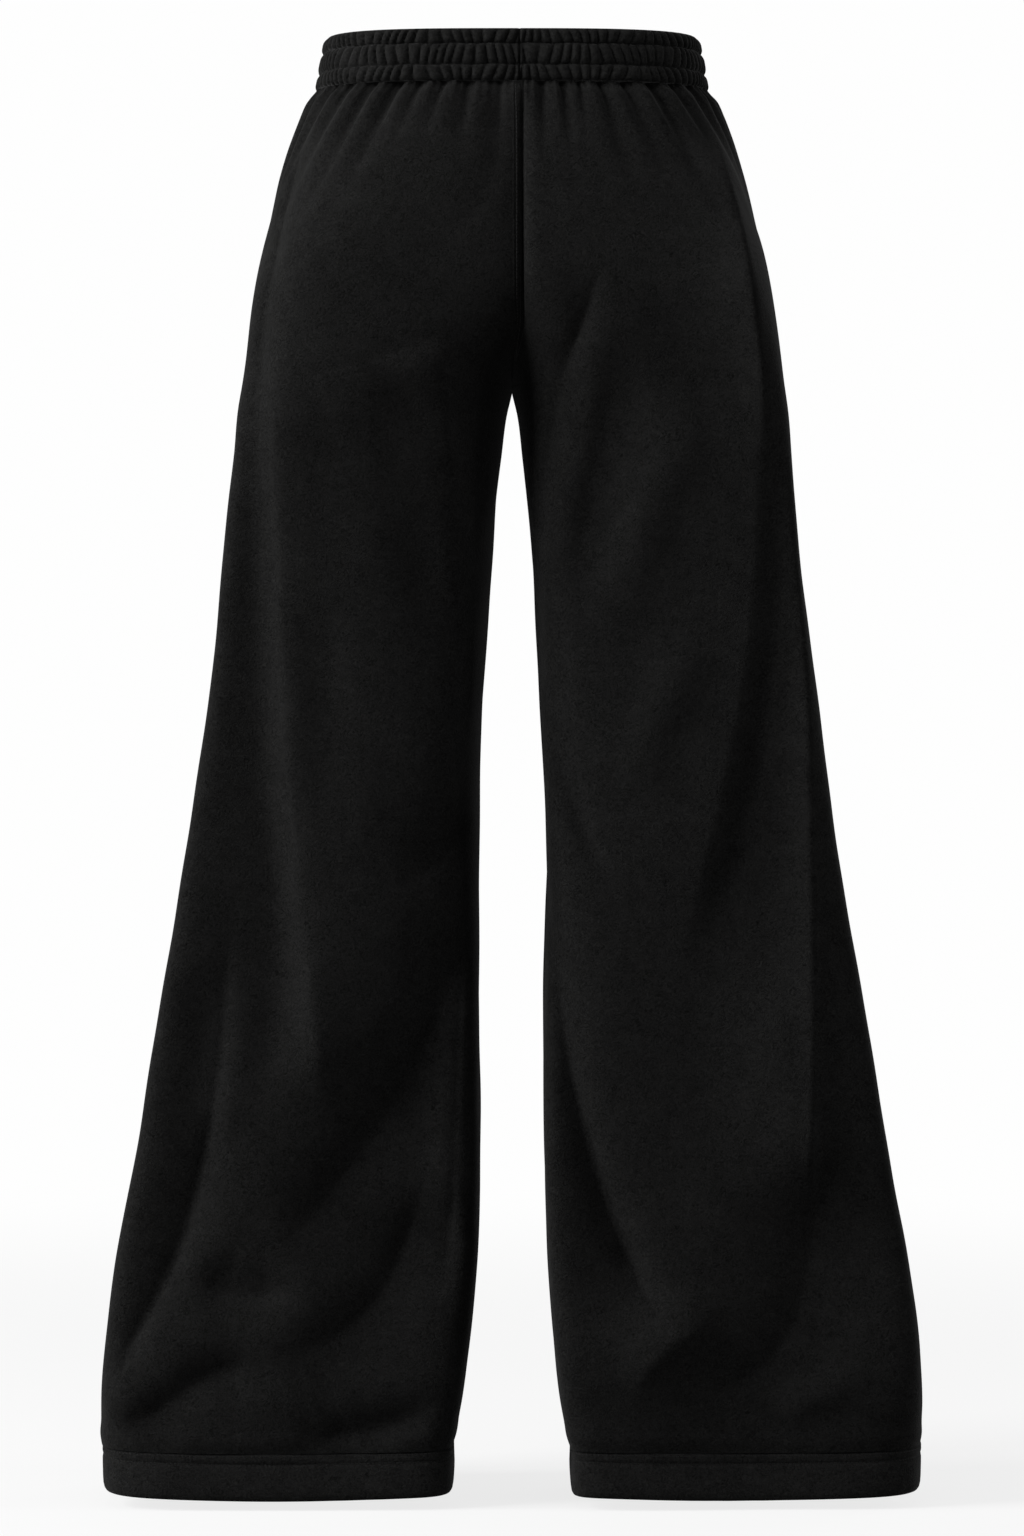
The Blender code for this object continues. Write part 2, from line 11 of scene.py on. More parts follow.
import bpy
import numpy as np
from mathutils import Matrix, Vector


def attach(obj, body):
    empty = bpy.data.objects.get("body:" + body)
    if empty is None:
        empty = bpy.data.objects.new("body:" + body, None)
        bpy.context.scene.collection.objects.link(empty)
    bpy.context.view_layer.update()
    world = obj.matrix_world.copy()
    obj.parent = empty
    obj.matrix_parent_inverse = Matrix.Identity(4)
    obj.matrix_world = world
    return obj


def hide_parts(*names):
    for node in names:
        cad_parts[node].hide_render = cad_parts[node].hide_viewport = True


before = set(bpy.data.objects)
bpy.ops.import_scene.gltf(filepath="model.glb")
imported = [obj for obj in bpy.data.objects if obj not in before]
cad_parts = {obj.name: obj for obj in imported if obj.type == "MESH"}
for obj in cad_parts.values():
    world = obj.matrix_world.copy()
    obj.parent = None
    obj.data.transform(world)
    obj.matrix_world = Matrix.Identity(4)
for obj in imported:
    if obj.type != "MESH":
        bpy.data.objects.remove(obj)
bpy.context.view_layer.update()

MM = 0.001
LEFT, RIGHT = 1, -1
BACK, FRONT = 1, -1

# Driving sizes of the part, in millimetres
CLOTH = 2.4
SEAM_GAP = 0.3
WAISTBAND_HEIGHT = 37.0
WAISTBAND_WALL = 4.2
CROTCH_Z = -231.0
FORK_RISE = 160.0
FORK_START_SLOPE = 0.13
SEAM_DRIFT = 7.5
DRIFT_RISE = 45.0
DRIFT_REACH = 45.0
TUCK = 3.0
TUCK_REACH = 9.0

BODY_TOP_Z = -WAISTBAND_HEIGHT / 2 - SEAM_GAP
HEM_TOP_Z = -981.0

# Half of the body at each height: its outer and inner edge from the middle, its depths to the back and
# front, the powers of its oval at the back towards the middle and the side (2 is an ellipse, more is
# squarer), and how far the cloth dips at the back
Section = namedtuple("Section", "z outer inner back front inner_power outer_power dip")
SECTIONS = (
    Section(-18, 143.5, 0.0, 97.0, 94.0, 3.2, 3.2, 0.0),
    Section(-30, 150.5, 0.0, 104.5, 97.0, 3.1, 3.2, 0.0),
    Section(-51, 159.5, 0.0, 114.0, 100.0, 2.9, 3.4, 0.0),
    Section(-80, 168.5, 0.0, 122.0, 102.0, 2.8, 3.8, 0.0),
    Section(-116, 175.5, 0.0, 127.0, 104.0, 2.8, 4.8, 0.0),
    Section(-166, 183.5, 0.0, 129.0, 105.0, 3.0, 9.0, 0.0),
    Section(-231, 191.0, 0.2, 120.0, 102.0, 3.2, 13.0, 0.0),
    Section(-250, 194.0, 4.4, 116.0, 101.0, 3.2, 14.0, 0.0),
    Section(-282, 197.0, 8.0, 109.0, 100.0, 3.2, 16.0, 0.0),
    Section(-354, 204.0, 13.7, 101.0, 98.0, 3.3, 18.0, 0.0),
    Section(-440, 213.5, 19.8, 97.0, 97.0, 3.4, 18.0, 0.0),
    Section(-527, 225.8, 23.8, 96.0, 98.0, 3.4, 18.0, 0.0),
    Section(-656, 246.3, 23.0, 99.0, 101.0, 3.4, 18.0, 0.0),
    Section(-786, 268.5, 23.4, 104.0, 106.0, 3.2, 16.0, 0.0),
    Section(-858, 282.0, 25.4, 107.0, 109.0, 3.0, 14.0, 0.5),
    Section(-915, 289.5, 30.0, 110.0, 112.0, 2.9, 11.0, 2.5),
    Section(-950, 291.5, 34.5, 110.0, 112.0, 3.0, 8.0, 4.5),
    Section(-968, 291.5, 38.5, 108.0, 110.0, 3.1, 6.0, 5.0),
    Section(-981, 291.0, 42.0, 105.5, 107.5, 3.2, 5.5, 5.5),
    Section(-1010, 290.0, 42.5, 106.5, 108.5, 3.2, 5.5, 9.5),
)
FRONT_POWER = 2.6

# How much squarer the back of each leg is towards its inseam, at the thigh and at the hem, and over what
# heights it becomes so
Squareness = namedtuple("Squareness", "thigh hem")
SQUARENESS = {LEFT: Squareness(1.0, 2.8), RIGHT: Squareness(2.4, 4.5)}
SQUARENESS_DROP = 140.0
LOW_TOP_Z, LOW_END_Z = -540.0, -800.0

# How far the seams of each leg have turned towards the back at the hem, in degrees
Turn = namedtuple("Turn", "inseam outseam")
TURNS = {LEFT: Turn(17.0, -3.0), RIGHT: Turn(32.0, 13.0)}
TURN_TOP_Z = -450.0

# Valleys of the gathers under the waistband on each back quarter: angle from the centre back, lean to
# the side in degrees for each 100 mm down, length, depth and half-width. The cloth falls steeply into
# each valley from the crest nearer the centre, and rises gently towards the next
Gather = namedtuple("Gather", "angle lean length depth width")
GATHERS = {
    LEFT: (
        Gather(6.0, 0, 75, 4.3, 5.0),
        Gather(13.5, 0, 32, 6.1, 3.6),
        Gather(19.5, 4, 26, 5.5, 3.2),
        Gather(25.0, 6, 30, 6.4, 3.6),
        Gather(31.0, 6, 60, 9.3, 4.4),
        Gather(38.0, 6, 85, 7.0, 4.0),
        Gather(45.0, 7, 72, 6.4, 4.0),
        Gather(52.0, 7, 48, 6.8, 3.6),
        Gather(61.0, 5, 80, 9.0, 4.8),
        Gather(70.0, 4, 55, 8.5, 4.0),
        Gather(79.0, 2, 60, 8.5, 4.6),
        Gather(88.0, 0, 40, 5.2, 4.0),
    ),
    RIGHT: (
        Gather(5.5, 0, 36, 5.2, 3.2),
        Gather(12.0, 2, 32, 5.5, 3.2),
        Gather(17.5, 0, 22, 4.9, 3.0),
        Gather(23.5, 4, 50, 6.4, 4.0),
        Gather(30.0, 6, 52, 7.2, 4.4),
        Gather(37.5, 6, 66, 9.0, 4.6),
        Gather(44.5, 8, 54, 6.7, 4.0),
        Gather(51.5, 8, 66, 7.5, 4.4),
        Gather(60.0, 5, 85, 9.5, 4.8),
        Gather(69.0, 4, 55, 9.0, 4.0),
        Gather(78.0, 2, 64, 9.0, 4.6),
        Gather(87.0, 0, 42, 5.2, 4.0),
    ),
}
GATHER_GIRTH = 128.0
GATHER_SPREAD = 70.0
GATHER_FADE_POWER = 1.5
GATHER_SHARPNESS = 1.25
GATHER_STEEP = 0.55
GATHER_GENTLE = 1.15

# The cloth falls into the centre-back seam, over this reach on each side of it
CENTRE_DIP = 6.5
CENTRE_REACH = {LEFT: 16.0, RIGHT: 4.0}
CENTRE_FADE = 40.0

# Large folds, seen from the back: four points that the line of each crest or trough runs through, across
# and up from the origin, its width on the inseam's side and on the other, its height, negative in a
# trough, and its power: 2 is a soft roll and 1 a crease
Fold = namedtuple("Fold", "side line wide_in wide_out height power")
FOLDS = (
    Fold(LEFT, ((133, -8), (160, -100), (174, -190), (177, -270)), 12, 90, -24.0, 0.8),
    Fold(LEFT, ((166, -170), (162, -340), (152, -530), (126, -760)), 110, 12, 14.0, 2.0),
    Fold(LEFT, ((174, -190), (170, -340), (160, -530), (134, -740)), 11, 70, -7.0, 1.0),
    Fold(LEFT, ((60, -205), (43, -277), (28, -430), (68, -572)), 14, 45, 6.0, 1.4),
    Fold(LEFT, ((50, -240), (38, -320), (28, -430), (68, -572)), 14, 45, 6.0, 1.4),
    Fold(LEFT, ((30, -560), (56, -680), (104, -772), (172, -858)), 130, 26, -16.0, 1.2),
    Fold(LEFT, ((62, -786), (77, -844), (112, -893), (182, -917)), 80, 18, -15.0, 1.1),
    Fold(LEFT, ((200, -600), (218, -783), (252, -879), (288, -946)), 15, 45, -14.0, 0.9),
    Fold(LEFT, ((288, -960), (245, -949), (204, -925), (149, -945)), 14, 20, -10.0, 1.2),
    Fold(LEFT, ((39, -941), (79, -959), (118, -969), (164, -975)), 11, 13, -8.0, 1.4),
    Fold(LEFT, ((192, -632), (201, -695), (206, -738), (218, -787)), 18, 13, 5.5, 2.0),
    Fold(LEFT, ((150, -618), (147, -667), (149, -709), (160, -759)), 18, 14, 5.0, 2.0),
    Fold(LEFT, ((231, -852), (202, -869), (174, -873), (139, -862)), 28, 12, -10.0, 1.5),
    Fold(LEFT, ((146, -371), (134, -427), (130, -498), (121, -561)), 18, 18, -4.0, 2.0),
    Fold(LEFT, ((111, -190), (108, -262), (98, -335), (86, -415)), 24, 26, 4.0, 2.0),
    Fold(LEFT, ((36, -600), (38, -700), (42, -800), (54, -890)), 10, 60, -9.0, 1.0),
    Fold(LEFT, ((79, -315), (65, -357), (51, -399), (47, -449)), 14, 16, -4.0, 2.0),
    Fold(LEFT, ((27, -597), (35, -680), (42, -763), (40, -850)), 11, 14, 7.0, 1.8),
    Fold(LEFT, ((22, -525), (38, -550), (58, -572), (82, -590)), 10, 20, -7.0, 1.2),
    Fold(RIGHT, ((-66, -140), (-22, -296), (-22, -452), (-78, -600)), 16, 9, -7.5, 1.1),
    Fold(RIGHT, ((-14, -545), (-32, -660), (-60, -790), (-116, -905)), 45, 11, -18.0, 1.0),
    Fold(RIGHT, ((-26, -600), (-25, -750), (-28, -870), (-42, -960)), 6, 48, 8.0, 1.0),
    Fold(RIGHT, ((-138, -36), (-155, -96), (-166, -156), (-171, -226)), 24, 14, 13.0, 1.2),
    Fold(RIGHT, ((-136, -36), (-160, -110), (-172, -190), (-177, -300)), 16, 24, 16.0, 1.0),
    Fold(RIGHT, ((-174, -230), (-168, -345), (-156, -460), (-108, -660)), 100, 14, 11.0, 2.0),
    Fold(RIGHT, ((-192, -250), (-207, -443), (-211, -636), (-208, -830)), 22, 14, 13.0, 1.0),
    Fold(RIGHT, ((-221, -759), (-207, -864), (-176, -924), (-87, -954)), 28, 140, -14.0, 1.1),
    Fold(RIGHT, ((-150, -884), (-122, -900), (-98, -920), (-82, -952)), 18, 13, 7.0, 1.3),
    Fold(RIGHT, ((-182, -958), (-203, -946), (-228, -935), (-259, -931)), 12, 12, 4.5, 2.0),
    Fold(RIGHT, ((-133, -238), (-111, -291), (-85, -357), (-66, -420)), 18, 18, 4.5, 2.0),
    Fold(RIGHT, ((-84, -190), (-70, -262), (-56, -330), (-47, -395)), 13, 20, -4.5, 2.0),
    Fold(RIGHT, ((-178, -639), (-186, -700), (-190, -770), (-184, -830)), 30, 16, 5.0, 2.0),
    Fold(RIGHT, ((-136, -400), (-116, -442), (-98, -484), (-84, -530)), 16, 16, 4.0, 2.0),
)
FRONT_SHARE = 0.8
FOLD_STEPS = 16
FOLD_END_REACH = 70.0
FOLD_END_SHARE = 0.35
CREASE_ROUND = 1.2
EDGE_HOLD_POWER = 8
SEAM_HOLD = 7.0

# Steps between the rows of the fine cloth, from each height down
Step = namedtuple("Step", "top size")
ROW_STEPS = (
    Step(-18.8, 1.3),
    Step(-60.0, 2.6),
    Step(-140.0, 3.6),
    Step(-222.0, 1.1),
    Step(-233.0, 2.0),
    Step(-250.0, 3.8),
    Step(-320.0, 5.2),
    Step(-620.0, 4.4),
    Step(-820.0, 3.2),
    Step(-966.0, 1.5),
)
BACK_COLUMNS = 265
FRONT_COLUMNS = 161
COLUMN_CROWDING = 0.5
CROTCH_CROWDING = 3.0
CROTCH_REACH = 25.0

# The dip of the cloth into its seams. At the inner seam it fades out towards the crotch, this far above
# it and over these heights above and below
SEAM_DIP = 2.0
SEAM_ROLL = 1.5
SEAM_DIP_START = 12.0
SEAM_DIP_RISE = 30.0
SEAM_DIP_FALL = 20.0

# The topstitched allowance beside the centre-back seam, and the furrow that the stitches press in it, as
# a share of its lift
ALLOWANCE = 6.5
ALLOWANCE_STEP = 1.6
ALLOWANCE_LIFT = 0.5
ALLOWANCE_END = 4.0
FURROW = 1.2
FURROW_WIDTH = 0.6

# The shirring under the waistband, made uneven by two slow waves: their height in radians and length in
# millimetres for each radian
SHIRRING_PITCH = 6.3
SHIRRING_HEIGHT = 0.9
SHIRRING_REACH = 7.0
SHIRRING_SLOW = (1.3, 23.0)
SHIRRING_QUICK = (0.8, 9.1)

# The cloth that rolls over the hem seams
HEM_ROLL = 1.2
HEM_ROLL_REACH = 7.0

# Low waves all over the cloth: how many to the metre across, deep and up, their height and phase
Wave = namedtuple("Wave", "turns height phase")
WAVES = (
    Wave((6.1, 2.0, 3.7), 0.55, 0.3),
    Wave((-8.3, 5.0, 4.9), 0.40, 1.9),
    Wave((13.7, -3.0, -6.1), 0.20, 4.1),
    Wave((4.3, 8.0, 15.1), 0.14, 2.6),
    Wave((-19.1, 6.0, 9.7), 0.08, 5.2),
)

# Waistband, top to bottom: the edges of its channels, how far each swells over the stitched grooves
# beside it, and how far round its ribs are shifted, in ribs
Channel = namedtuple("Channel", "top bottom swell shift")
CHANNELS = (
    Channel(18.5, 7.9, 3.4, 0.0),
    Channel(7.9, -7.1, 3.7, 0.45),
    Channel(-7.1, -18.5, 3.4, 0.1),
)
CHANNEL_SINK = 1.9
CHANNEL_SQUARENESS = 2.6
CHANNEL_EDGE = 1.03
WAISTBAND_TOP_OVAL = (132.5, 90.5)
WAISTBAND_BOTTOM_OVAL = (139.0, 95.0)
WAISTBAND_POWER = 3.2
FRONT_WAIST_SHARE = 0.97
RIBS = 124
RIB_HEIGHT = 2.9
RIB_ROUNDNESS = 0.6
RIB_POINTS = 9
WAISTBAND_ROWS = 64
WAISTBAND_INNER_ROWS = 10
GROOVE_WAVE = 0.35
GROOVE_WAVES = 31
GROOVE_FLOOR = -0.9
CENTRE_SEAM_X = -5.3
CENTRE_SEAM_DEPTH = 2.6
CENTRE_SEAM_WIDTH = 0.7

# Slow waves that make the ribs uneven: their height, how many go round the band, and how far a channel's
# shift moves them. They move the ribs along, lean them and change their size
Ripple = namedtuple("Ripple", "height turns shift")
RIB_WANDERS = (Ripple(0.35, 7, 9), Ripple(0.22, 19, 5))
RIB_LEAN = Ripple(0.3, 11, 8)
RIB_SIZES = Ripple(0.15, 13, 3)

# Hem profile, from its top edge down its outside and back up its inside
HemRow = namedtuple("HemRow", "drop outwards")
HEM_ROWS = (
    HemRow(0.0, -1.6),
    HemRow(0.0, -0.4),
    HemRow(0.7, 0.3),
    HemRow(2.0, 1.0),
    HemRow(4.0, 1.2),
    HemRow(5.6, 0.8),
    HemRow(6.5, 0.2),
    HemRow(7.4, 0.8),
    HemRow(9.5, 1.3),
    HemRow(13.0, 1.4),
    HemRow(17.0, 1.4),
    HemRow(21.0, 1.4),
    HemRow(25.0, 1.2),
    HemRow(27.5, 0.6),
    HemRow(28.7, -0.4),
    HemRow(29.0, -1.4),
    HemRow(28.7, -2.4),
    HemRow(27.0, -3.2),
    HemRow(18.0, -3.6),
    HemRow(8.0, -3.8),
    HemRow(0.0, -4.2),
)
HEM_POINTS = 320
HEM_OUTER_ROWS = 16

# Stitches: their pitch and length, how thick the thread is, the place and thickness of each ring along
# one, as shares of its length and of the thread's, and where their lines run. The topstitching starts
# below the panel's first rows and ends this far above the crotch
STITCH_PITCH = 2.9
STITCH_LENGTH = 2.2
THREAD_RADIUS = 0.32
STITCH_ENDS = ((-0.5, 0.25), (-0.38, 0.8), (0.0, 1.0), (0.38, 0.8), (0.5, 0.25))
STITCH_SIDES = 6
STITCH_STANDS = 0.2
TOPSTITCH_PLACE = 5.3
TOPSTITCH_END = 6.0
TOPSTITCH_SKIPPED_ROWS = 2
HEM_STITCH_DROPS = (1.4, 6.5)

# Edges sharper than this many degrees stay sharp
SHARP_ANGLE = 60.0

# Fleece of each kind of piece: the tone of its ground, and the height of its nap in metres
Fleece = namedtuple("Fleece", "name tone nap_height")
BODY_FLEECE = Fleece("body_fleece", 0.0085, 0.0006)
HEM_FLEECE = Fleece("hem_fleece", 0.0096, 0.0006)
WAISTBAND_FLEECE = Fleece("waistband_fleece", 0.0098, 0.0005)
DARKEST, PALEST = 0.3, 1.7
TONE_SPREAD = 0.3
FIBRE_SHARE = 0.3
MOTTLE_SHARE = 0.15

# Thread: its darkest and palest tone, the spread of noise between them, and the height of its twist
THREAD_TONES = (0.005, 0.012)
THREAD_SPREAD = 0.4
THREAD_TWIST_HEIGHT = 0.0001

# Noise in the cloth and the thread, in lumps to the metre
CURL_SCALE = 350.0
CURL_TWIST = 2.2
FIBRE_SCALE = 1500.0
MOTTLE_SCALE = 60.0
TWIST_SCALE = 4000.0
TWIST_BEND = 1.5

# Tones of the backdrop as it looks and as it lights the part. The floor has FLOOR_GLOW of the backdrop's
# own tone within the first of two distances in metres, and all of it beyond the second
BACKDROP = 0.99
AMBIENT = 0.2
FLOOR_GLOW = 0.8
FLOOR_FADE = (0.8, 3.2)
FLOOR_TONE = 0.9
FLOOR_SIZE = 60.0
FLOOR_DROP = 0.045

# Camera: its focal length and sensor in millimetres, its place in metres and its turn in degrees
LENS, SENSOR_WIDTH = 146.5, 36.0
CAMERA_PLACE = (0.0, 4.5, -0.5035)
CAMERA_TURN = (90.0, 0.0, 180.0)

# Soft lights: where each stands and how wide and tall it is, in metres, and its power in watts
Light = namedtuple("Light", "name x y z wide tall power")
LIGHTS = (
    Light("key", 3.3, 1.7, 0.9, 1.2, 2.2, 135.0),
    Light("graze", 3.4, 0.55, 0.5, 0.5, 2.4, 72.0),
    Light("fill", -3.4, 0.6, 0.2, 0.8, 2.6, 30.0),
    Light("top", 0.0, 0.9, 2.6, 2.4, 1.6, 14.0),
    Light("rear", -3.0, -3.2, 0.9, 1.6, 2.0, 20.0),
)
LIGHTS_AIM = (0.0, 0.0, -0.5)


def smoothstep(value):
    value = np.clip(value, 0.0, 1.0)
    return value * value * (3.0 - 2.0 * value)


def column_at(rows, column, z):
    """One column of a table at heights z, on a smooth curve through the rows."""
    heights = np.array([row.z for row in rows], float)[::-1]
    values = np.array([getattr(row, column) for row in rows], float)[::-1]
    slopes = np.gradient(values, heights)
    z = np.clip(z, heights[0], heights[-1])
    i = np.clip(np.searchsorted(heights, z) - 1, 0, len(heights) - 2)
    step = heights[i + 1] - heights[i]
    t = (z - heights[i]) / step
    rising = t * t * (3.0 - 2.0 * t)
    start = t * (1.0 - t) ** 2 * step * slopes[i]
    end = -t * t * (1.0 - t) * step * slopes[i + 1]
    return values[i] * (1.0 - rising) + values[i + 1] * rising + start + end


def half_oval(z):
    """Middle and half-width of the oval that one half of the body is at height z, and its two depths."""
    outer = column_at(SECTIONS, "outer", z)
    inner = column_at(SECTIONS, "inner", z)
    rise = np.clip((z - CROTCH_Z) / FORK_RISE, 0.0, 1.0)
    joined = smoothstep(rise) + FORK_START_SLOPE * rise * (1.0 - rise) ** 2
    middle = np.where(z > CROTCH_Z, outer / 2 * (1.0 - joined), (outer + inner) / 2)
    return middle, outer - middle, column_at(SECTIONS, "back", z), column_at(SECTIONS, "front", z)


def oval_power(side, across, behind, z):
    """Power of the oval at height z, in the quarter that across and behind point to."""
    squarer = SQUARENESS[side]
    below_crotch = smoothstep((CROTCH_Z - z) / SQUARENESS_DROP)
    low = smoothstep((LOW_TOP_Z - z) / (LOW_TOP_Z - LOW_END_Z))
    times = 1.0 + (squarer.thigh - 1.0) * below_crotch + (squarer.hem - squarer.thigh) * low
    inner = column_at(SECTIONS, "inner_power", z) * times
    outer = column_at(SECTIONS, "outer_power", z)
    return np.where(behind >= 0, np.where(across > 0, outer, inner), FRONT_POWER)


def oval_angle(side, across, face, z):
    """Angle round an oval of half-width 1 where it is this far across, towards the face."""
    across = np.clip(across, -1.0, 1.0)
    power = oval_power(side, across, face, z)
    return np.arctan2((1.0 - np.abs(across) ** power) ** (1.0 / power), across)


def oval_radius(theta, power):
    """How far the oval stands out at angle theta, against an ellipse."""
    return (np.abs(np.cos(theta)) ** power + np.abs(np.sin(theta)) ** power) ** (-1.0 / power)


def angles_round(count):
    """Even angles round an oval, from 0 at the side to 90 degrees at the back and on."""
    return np.arange(count) * 2 * math.pi / count


def seam_angles(side, face, z):
    """Angles round the oval of the inner seam and of the side seam."""
    middle, half, _, _ = half_oval(z)
    centre = oval_angle(side, (SEAM_GAP / 2 - middle) / half, face, z)
    turned = smoothstep((TURN_TOP_Z - z) / (TURN_TOP_Z - HEM_TOP_Z))
    inseam = np.pi - face * np.radians(TURNS[side].inseam) * turned
    inner = np.where(z > CROTCH_Z, centre, inseam)
    return face * inner, np.radians(TURNS[side].outseam) * turned + 0.0 * z


def gather_depth(side, theta, z):
    """How far the gathers press the cloth in, at angle theta round the oval."""
    depth = np.zeros(np.broadcast(theta, z).shape)
    below = np.maximum(BODY_TOP_Z - z, 0.0)
    for face in (BACK, FRONT):
        from_centre = 90.0 - np.degrees(theta) * face
        for row in GATHERS[side * face]:
            away = from_centre - row.angle - row.lean * below / 100.0
            width = row.width * (1.0 + below / GATHER_SPREAD)
            width = width * np.where(away < 0, GATHER_STEEP, GATHER_GENTLE)
            away = np.hypot(np.radians(away) * GATHER_GIRTH, CREASE_ROUND) - CREASE_ROUND
            fade = np.exp(-((below / row.length) ** GATHER_FADE_POWER))
            depth -= row.depth * fade * np.exp(-((away / width) ** GATHER_SHARPNESS))
    return depth


def fold_depth(side, theta, from_centre, z):
    """How far the large folds lift the cloth, at angle theta and this far from the middle."""
    depth = np.zeros(np.broadcast(theta, z).shape)
    for face in (BACK, FRONT):
        here = np.sin(theta) * face > 0
        share = 1.0 if face == BACK else FRONT_SHARE
        for fold in FOLDS:
            if fold.side == side * face:
                depth += np.where(here, share * one_fold(fold, from_centre, z), 0.0)
    return depth


def curve_through(points, steps):
    """A smooth curve through four points, as its two coordinates at equal steps."""
    t = np.linspace(0.0, 1.0, steps + 1)
    knots = np.arange(4) / 3
    curve = np.zeros((2, steps + 1))
    for knot, point in zip(knots, points):
        weight = np.prod([(t - other) / (knot - other) for other in knots if other != knot], axis=0)
        curve += weight * np.array(point, float)[:, None]
    return curve


def one_fold(fold, from_centre, z):
    """How far one fold lifts the cloth, seen square on: a smooth crest or trough beside its curve."""
    line_x, line_z = curve_through(fold.line, FOLD_STEPS)
    line_x = np.abs(line_x)
    nearest = np.full(np.broadcast(from_centre, z).shape, np.inf)
    along, towards_seam = np.zeros(nearest.shape), np.zeros(nearest.shape)
    length = np.hypot(np.diff(line_x), np.diff(line_z)).sum()
    for i in range(FOLD_STEPS):
        across, up = from_centre - line_x[i], z - line_z[i]
        run, rise = line_x[i + 1] - line_x[i], line_z[i + 1] - line_z[i]
        t = np.clip((across * run + up * rise) / (run * run + rise * rise), 0.0, 1.0)
        away = np.hypot(across - t * run, up - t * rise)
        closer = away < nearest
        nearest = np.where(closer, away, nearest)
        along = np.where(closer, (i + t) / FOLD_STEPS, along)
        towards_seam = np.where(closer, rise * across - run * up, towards_seam)
    width = np.where(towards_seam > 0, fold.wide_in, fold.wide_out)
    reach = min(FOLD_END_REACH / length, FOLD_END_SHARE)
    ends = smoothstep(along / reach) * smoothstep((1.0 - along) / reach)
    away = np.hypot(nearest, CREASE_ROUND) - CREASE_ROUND
    return fold.height * ends * np.exp(-((away / width) ** fold.power))


def cloth_points(side, theta, z):
    """Outer points of the cloth at angle theta and height z, and the directions that face out there."""
    middle, half, back, front = half_oval(z)
    sine, cosine = np.sin(theta), np.cos(theta)
    depth = np.where(sine >= 0, back, front)
    radius = oval_radius(theta, oval_power(side, cosine, sine, z))
    from_centre, deep = middle + half * radius * cosine, depth * radius * sine
    out_x, out_y = cosine / half, sine / depth
    length = np.hypot(out_x, out_y)
    out_x, out_y = out_x / length, out_y / length
    held = 1.0 - np.exp(-((from_centre / SEAM_HOLD) ** 2))
    lift = gather_depth(side, theta, z) * held - TUCK * (1.0 - smoothstep((BODY_TOP_Z - z) / TUCK_REACH))
    folds = fold_depth(side, theta, from_centre, z) * held * (1.0 - np.abs(cosine) ** EDGE_HOLD_POWER)
    x = side * (from_centre + out_x * lift)
    dip = centre_dip(side, from_centre, z) * np.maximum(sine, 0.0)
    y = deep + out_y * lift + folds * np.sign(sine) - dip
    x = x - seam_drift(x, y, z)
    down = z - column_at(SECTIONS, "dip", z) * sine
    return np.stack([x, y, down], axis=-1), np.stack([side * out_x, out_y, 0 * z], axis=-1)


def centre_dip(side, from_centre, z):
    """How far the cloth lies in at the centre-back seam, between the waistband and the crotch."""
    ends = smoothstep((BODY_TOP_Z - z) / CENTRE_FADE) * smoothstep((z - CROTCH_Z) / CENTRE_FADE)
    return CENTRE_DIP * ends * np.exp(-np.abs(from_centre) / CENTRE_REACH[side])


def seam_drift(x, y, z):
    """How far the cloth round the centre-back seam has drifted to the wearer's right."""
    above_crotch = smoothstep((z - CROTCH_Z) / DRIFT_RISE)
    behind = smoothstep(y / DRIFT_REACH)
    return SEAM_DRIFT * above_crotch * behind * np.exp(-((x / DRIFT_REACH) ** 2))


def row_heights():
    """Heights of the fine cloth's rows, an odd number of them."""
    heights = []
    for step, below in zip(ROW_STEPS, [*[s.top for s in ROW_STEPS[1:]], HEM_TOP_Z + SEAM_GAP]):
        count = max(1, round((step.top - below) / step.size))
        heights += list(np.linspace(step.top, below, count, endpoint=False))
    if len(heights) % 2:
        heights.append((heights[-1] + HEM_TOP_Z + SEAM_GAP) / 2)
    return np.array([*heights, HEM_TOP_Z + SEAM_GAP])


def run_across(points):
    """Length along each row of points, from its first."""
    steps = np.linalg.norm(np.diff(points, axis=1), axis=-1)
    return np.concatenate([np.zeros((len(points), 1)), np.cumsum(steps, axis=1)], axis=1)


def seam_relief(side, face, points, z):
    """How far the sewing and the shirring lift the outside of a panel from its large shape."""
    from_inner = run_across(points)
    from_outer = from_inner[:, -1:] - from_inner
    below, above = BODY_TOP_Z - z, z - HEM_TOP_Z
    dip_above = smoothstep((z - CROTCH_Z - SEAM_DIP_START) / SEAM_DIP_RISE)
    dip_below = smoothstep((CROTCH_Z - z) / SEAM_DIP_FALL)
    inner_dip = np.where(z > CROTCH_Z, dip_above, dip_below)
    lift = -SEAM_DIP * (inner_dip * bump(from_inner, SEAM_ROLL) + bump(from_outer, SEAM_ROLL))
    if (side, face) == (LEFT, BACK):
        strip = smoothstep((ALLOWANCE - from_inner) / ALLOWANCE_STEP + 0.5)
        strip -= FURROW * bump(from_inner - TOPSTITCH_PLACE, FURROW_WIDTH)
        lift += ALLOWANCE_LIFT * strip * smoothstep((z - CROTCH_Z) / ALLOWANCE_END)
    (slow, slow_length), (quick, quick_length) = SHIRRING_SLOW, SHIRRING_QUICK
    wander = slow * np.sin(from_inner / slow_length + side)
    wander = wander + quick * np.sin(from_inner / quick_length + face)
    shirring = np.sin(from_inner * 2 * math.pi / SHIRRING_PITCH + wander)
    lift += SHIRRING_HEIGHT * shirring * np.exp(-below / SHIRRING_REACH)
    lift += HEM_ROLL * bump(above - HEM_ROLL_REACH, HEM_ROLL_REACH)
    for wave in WAVES:
        turn = points @ np.array(wave.turns) * 2 * math.pi / 1000.0
        lift += wave.height * np.sin(turn + wave.phase)
    return lift


